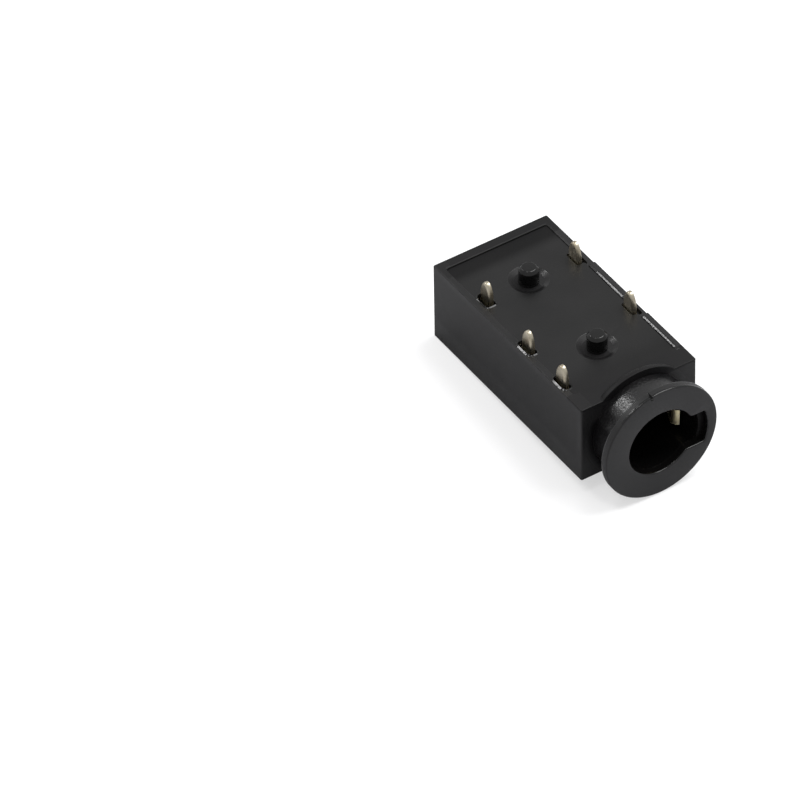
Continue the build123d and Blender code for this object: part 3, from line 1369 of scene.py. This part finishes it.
@dataclass
class Contact:
    """One stamped strip: its anchor and solder tail stand upright, and its arm runs to the plug."""

    name: str
    body: Body
    tail: Tail
    bends: Sequence[Point]
    finish: bpy.types.Material
    bend_radius: float = 0.25
    level: float = 0.0
    tail_height: float = 0.95
    tail_tip: float = 0.9
    # Stamping rounds the edge where the punch came in and leaves the other one nearly sharp
    roll_over: float = 0.13
    burr: float = 0.035
    arc_steps: int = 16
    crease: float = 50.0

    def blade_outline(self) -> list[Point]:
        """Draws the side view of the anchor and the tail, with its half-round tip.

        Returns:
            The outline's points.
        """
        body = self.body
        x = self.tail.x(body)
        half = body.tail_width / 2
        anchor = body.anchor_width / 2
        shoulder = body.plate_bottom - body.seat_gap
        tip_start = body.seat + self.tail_height - self.tail_tip
        outline = [(x - anchor, body.floor), (x + anchor, body.floor), (x + anchor, shoulder)]
        outline.append((x + half, shoulder))
        for step in range(self.arc_steps + 1):
            angle = math.pi * step / self.arc_steps
            rise = self.tail_tip * math.sin(angle)
            outline.append((x + half * math.cos(angle), tip_start + rise))
        outline += [(x - half, shoulder), (x - anchor, shoulder)]
        return outline

    def build(self) -> bpy.types.Object:
        """Models the strip.

        Returns:
            The strip, in metres.
        """
        body = self.body
        y = self.tail.y(body)
        half = body.strip / 2
        piece = Bench.prism(self.name, self.blade_outline(), Along.Y, y - half, y + half)
        shoulder = body.plate_bottom - 2 * body.seat_gap
        for level, width in ((y - half, self.roll_over), (y + half, self.burr)):
            Bench.soften(
                piece,
                lambda a, b: max(abs(a.y - level), abs(b.y - level)) < Bench.fine
                and min(a.z, b.z) > shoulder,
                width,
            )
        Bench.combine(piece, Cut.JOIN, self.arm())
        Bench.close_up(piece, self.finish, self.crease)
        return piece

    def arm(self) -> bpy.types.Object:
        """Models the arm: a ribbon along its bends, given its thickness.

        Returns:
            The arm.
        """
        body = self.body
        side = self.tail.side.value
        corners = [(self.tail.x(body), self.tail.y(body), 0.0)]
        corners += [(x, side * y, self.bend_radius) for x, y in self.bends]
        low = self.level - body.arm_height / 2
        places = [Vector((x, y, low)) for x, y in rounded(corners, closed=False)]
        ribbon = Bench.chain(f"{self.name}_arm", places, closed=False)
        with Bench.editing(ribbon, Pick.EDGES):
            bpy.ops.mesh.select_all(action="SELECT")
            move = {"value": (0, 0, body.arm_height)}
            bpy.ops.mesh.extrude_region_move(TRANSFORM_OT_translate=move)
        Bench.modify(ribbon, "SOLIDIFY", thickness=body.strip, offset=0)
        with Bench.editing(ribbon, Pick.FACES):
            Bench.turn_out()
        return ribbon


@dataclass
class ContactSet:
    """The five contacts, with the bends of their arms worked out from the body and the plug."""

    body: Body
    finish: bpy.types.Material
    contact_poke: float = 0.2
    sleeve_poke: float = 0.25
    sleeve_point: float = 1.55
    ring_one_reach: float = 2.35
    ring_two_reach: float = 2.15
    tip_reach: float = 4.35
    rise_run: float = 0.55
    ring_one_step: float = 0.52
    ring_two_step: float = 0.76
    tip_step: float = 0.4
    lead_run: float = 0.5
    lead: float = 0.25
    sleeve_lead_run: float = 0.18
    sleeve_lead: float = 0.28
    key_clearance: float = 0.2
    pass_gap: float = 0.14
    hook_room: float = 0.18
    hook_overlap: float = 0.2
    hook_round: float = 0.35
    contacts: list[Contact] = field(default_factory=list)

    def plan(self) -> None:
        """Works out the bends of each arm."""
        body = self.body
        near = body.bore_radius - self.contact_poke + body.strip / 2
        lane = body.key_reach - body.strip / 2 - self.key_clearance
        sleeve_near = body.bore_radius - self.sleeve_poke + body.strip / 2
        x = SLEEVE_TAIL.x(body)
        sleeve = [
            (x + body.anchor_width, abs(SLEEVE_TAIL.y(body))),
            (body.bore_end - self.rise_run, lane),
            (-self.sleeve_point - self.rise_run, lane),
            (-self.sleeve_point, sleeve_near),
            (-self.sleeve_point + self.sleeve_lead_run, sleeve_near + self.sleeve_lead),
        ]
        x = RING_ONE_TAIL.x(body)
        lane = abs(RING_ONE_TAIL.y(body))
        ring_one = [
            (x + body.anchor_width / 2, lane),
            (x + self.ring_one_reach - self.rise_run, lane - self.ring_one_step),
            (x + self.ring_one_reach, near),
            (x + self.ring_one_reach + self.lead_run, near + self.lead),
        ]
        x = RING_TWO_TAIL.x(body) - self.ring_two_reach
        ring_two = [
            (x + self.rise_run, abs(RING_TWO_TAIL.y(body)) - self.ring_two_step),
            (x, near),
            (x - self.lead_run, near + self.lead),
        ]
        switch_lane = abs(SWITCH_TAIL.y(body))
        point = TIP_TAIL.x(body) - self.tip_reach
        end = point - 2 * self.lead_run
        end_side = switch_lane - body.strip - self.hook_room
        tip = [
            (TIP_TAIL.x(body) - body.anchor_width, abs(TIP_TAIL.y(body)) - self.tip_step),
            (point + self.rise_run, switch_lane - body.strip - self.pass_gap),
            (point, near),
            (point - self.lead_run, end_side),
            (end, end_side),
        ]
        hook_side = end_side - body.strip - body.seat_gap
        hook_back = end - self.lead_run
        switch = [
            (hook_back, switch_lane),
            (hook_back, hook_side),
            (end + self.hook_overlap, hook_side),
        ]
        hook_radius = (switch_lane - hook_side) * self.hook_round
        self.contacts = [
            Contact(name, body, tail, bends, self.finish, **sizes)
            for name, tail, bends, sizes in (
                ("sleeve_terminal", SLEEVE_TAIL, sleeve, {"level": body.sleeve_level}),
                ("ring_one_terminal", RING_ONE_TAIL, ring_one, {}),
                ("ring_two_terminal", RING_TWO_TAIL, ring_two, {}),
                ("tip_terminal", TIP_TAIL, tip, {}),
                ("tip_switch_terminal", SWITCH_TAIL, switch, {"bend_radius": hook_radius}),
            )
        ]

    def build(self) -> list[bpy.types.Object]:
        """Models all the contacts and returns them, in metres."""
        self.plan()
        return [contact.build() for contact in self.contacts]


@dataclass(frozen=True)
class Lamp:
    """A square soft lamp: where it hangs from the socket, its size, its distance and its power."""

    name: str
    towards: Triple
    distance: float
    size: float
    power: float

    def hang(self, target: Triple) -> None:
        """Hangs the lamp, turned to the place that it lights.

        Args:
            target: The place, in millimetres.
        """
        towards = Vector(self.towards).normalized()
        place = (Vector(target) + towards * self.distance) * MM
        bpy.ops.object.select_all(action="DESELECT")
        bpy.ops.object.light_add(type="AREA", location=place)
        lamp = bpy.context.active_object
        lamp.name = self.name
        lamp.data.energy = self.power
        lamp.data.size = self.size * MM
        lamp.rotation_euler = towards.to_track_quat("Z", "Y").to_euler()


@dataclass
class Studio:
    """The pale floor that the socket lies on, the soft light and the camera."""

    # X and Z of the two places where the socket touches the floor
    flange_contact: Point = (-0.37, -3.15)
    back_contact: Point = (-14.25, -2.2)
    floor_gap: float = 0.012
    floor_radius: float = 400.0
    floor_sides: int = 96
    table_colour: str = "#C2C2C4"
    table_roughness: float = 0.9
    paper_colour: str = "#FBFBFC"
    paper_glow: float = 0.55
    sky: float = 0.78
    lamps: tuple[Lamp, ...] = (
        Lamp("overhead_lamp", (0.10, 0.45, 0.88), 300.0, 180.0, 0.8),
        Lamp("glint_lamp", (-0.62, -0.38, 0.68), 250.0, 45.0, 0.13),
        Lamp("crown_lamp", (0.07, -0.29, 0.95), 250.0, 40.0, 0.08),
    )
    # The camera's place was fitted to the photograph, in degrees and millimetres
    target: Triple = (-7.175, 0.0, 0.0)
    azimuth: float = 57.304
    elevation: float = 42.087
    roll: float = -1.138
    distance: float = 422.0
    offset: Point = (-8.2512, -1.9883)
    lens: float = 403.12
    clip_start: float = 0.01

    def build(self) -> None:
        """Sets the floor, the light, the camera and the view transform."""
        self.lay_floor()
        self.light()
        self.point_camera()
        bpy.context.scene.view_settings.view_transform = "Standard"

    def lay_floor(self) -> None:
        """Lays the floor under the two places where the socket touches it."""
        foot, level = self.flange_contact
        run = foot - self.back_contact[0]
        rise = self.back_contact[1] - level
        bpy.ops.object.select_all(action="DESELECT")
        bpy.ops.mesh.primitive_circle_add(
            vertices=self.floor_sides,
            radius=self.floor_radius * MM,
            fill_type="NGON",
            location=Vector((foot, 0, level - self.floor_gap)) * MM,
            rotation=(0, math.atan2(rise, run), 0),
        )
        floor = bpy.context.active_object
        floor.name = "studio_floor"
        floor.data.materials.append(self.floor_finish())

    def floor_finish(self) -> bpy.types.Material:
        """Builds the floor's material: grey to the socket, and nearly white to the camera.

        Returns:
            The material.
        """
        material = bpy.data.materials.new("studio_paper")
        material.use_nodes = True
        tree = material.node_tree
        table = tree.nodes["Principled BSDF"]
        table.inputs["Base Color"].default_value = linear(self.table_colour)
        table.inputs["Roughness"].default_value = self.table_roughness
        table.inputs["Specular IOR Level"].default_value = 0.0
        paper = add_node(tree, "BsdfDiffuse", Color=linear(self.paper_colour)).outputs[0]
        glow = add_node(tree, "Emission", Color=(1, 1, 1, 1), Strength=1.0).outputs[0]
        seen = add_node(tree, "MixShader", at0=self.paper_glow, at1=paper, at2=glow).outputs[0]
        camera = add_node(tree, "LightPath").outputs["Is Camera Ray"]
        matte = table.outputs[0]
        upper = add_node(tree, "MixShader", at0=camera, at1=matte, at2=seen).outputs[0]
        # The floor's underside is clear, so that a view from below shows the socket
        below = add_node(tree, "NewGeometry").outputs["Backfacing"]
        clear = add_node(tree, "BsdfTransparent").outputs[0]
        mixed = add_node(tree, "MixShader", at0=below, at1=upper, at2=clear).outputs[0]
        tree.links.new(mixed, tree.nodes["Material Output"].inputs["Surface"])
        return material

    def light(self) -> None:
        """Sets an even sky and hangs the lamps."""
        world = bpy.data.worlds.new("studio_sky")
        bpy.context.scene.world = world
        world.use_nodes = True
        sky = world.node_tree.nodes["Background"]
        sky.inputs["Color"].default_value = (1, 1, 1, 1)
        sky.inputs["Strength"].default_value = self.sky
        for lamp in self.lamps:
            lamp.hang(self.target)

    def point_camera(self) -> None:
        """Sets the camera at the photograph's angle, with no shift."""
        angles = (self.azimuth, self.elevation, self.roll)
        turn, rise, lean = (math.radians(angle) for angle in angles)
        level = Vector((math.sin(turn), -math.cos(turn), 0))
        back = level * math.cos(rise) + Vector((0, 0, math.sin(rise)))
        level_right = Vector((math.cos(turn), math.sin(turn), 0))
        level_up = back.cross(level_right)
        right = level_right * math.cos(lean) + level_up * math.sin(lean)
        up = level_up * math.cos(lean) - level_right * math.sin(lean)
        place = Vector(self.target) + back * self.distance
        place += right * self.offset[0] + up * self.offset[1]
        data = bpy.data.cameras.new("photograph_view")
        data.lens = self.lens
        data.clip_start = self.clip_start
        camera = bpy.data.objects.new("photograph_view", data)
        bpy.context.scene.collection.objects.link(camera)
        turned = Matrix((right, up, back)).transposed().to_4x4()
        camera.matrix_world = Matrix.Translation(place * MM) @ turned
        bpy.context.scene.camera = camera


def main() -> None:
    """Builds the socket and its studio, and reports each piece."""
    logging.basicConfig(level=logging.INFO, format="%(name)s: %(message)s")
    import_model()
    body = Body()
    housing_finish = MouldedNylon("black_housing_nylon", patches=HOUSING_PATCHES).make()
    plate_finish = MouldedNylon("black_plate_nylon", roughness=0.46, patches=PLATE_PATCHES).make()
    strip = PlatedStrip().make()
    Studio().build()
    housing = Housing(body, housing_finish).build()
    plate = BasePlate(body, plate_finish).build()
    terminals = ContactSet(body, strip).build()
    dressed = [
        (housing, "housing", "black_housing_plastic"),
        (plate, "base_plate", "black_plate_plastic"),
    ]
    for terminal in terminals:
        dressed.append((terminal, terminal.name.replace("terminal", "contact"), "plated_strip"))
    for piece, node, slot in dressed:
        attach(piece, "root")
        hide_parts(node)
        LOG.info("%s stands for %s with %d faces", piece.name, node, len(piece.data.polygons))


if __name__ == "__main__":
    main()
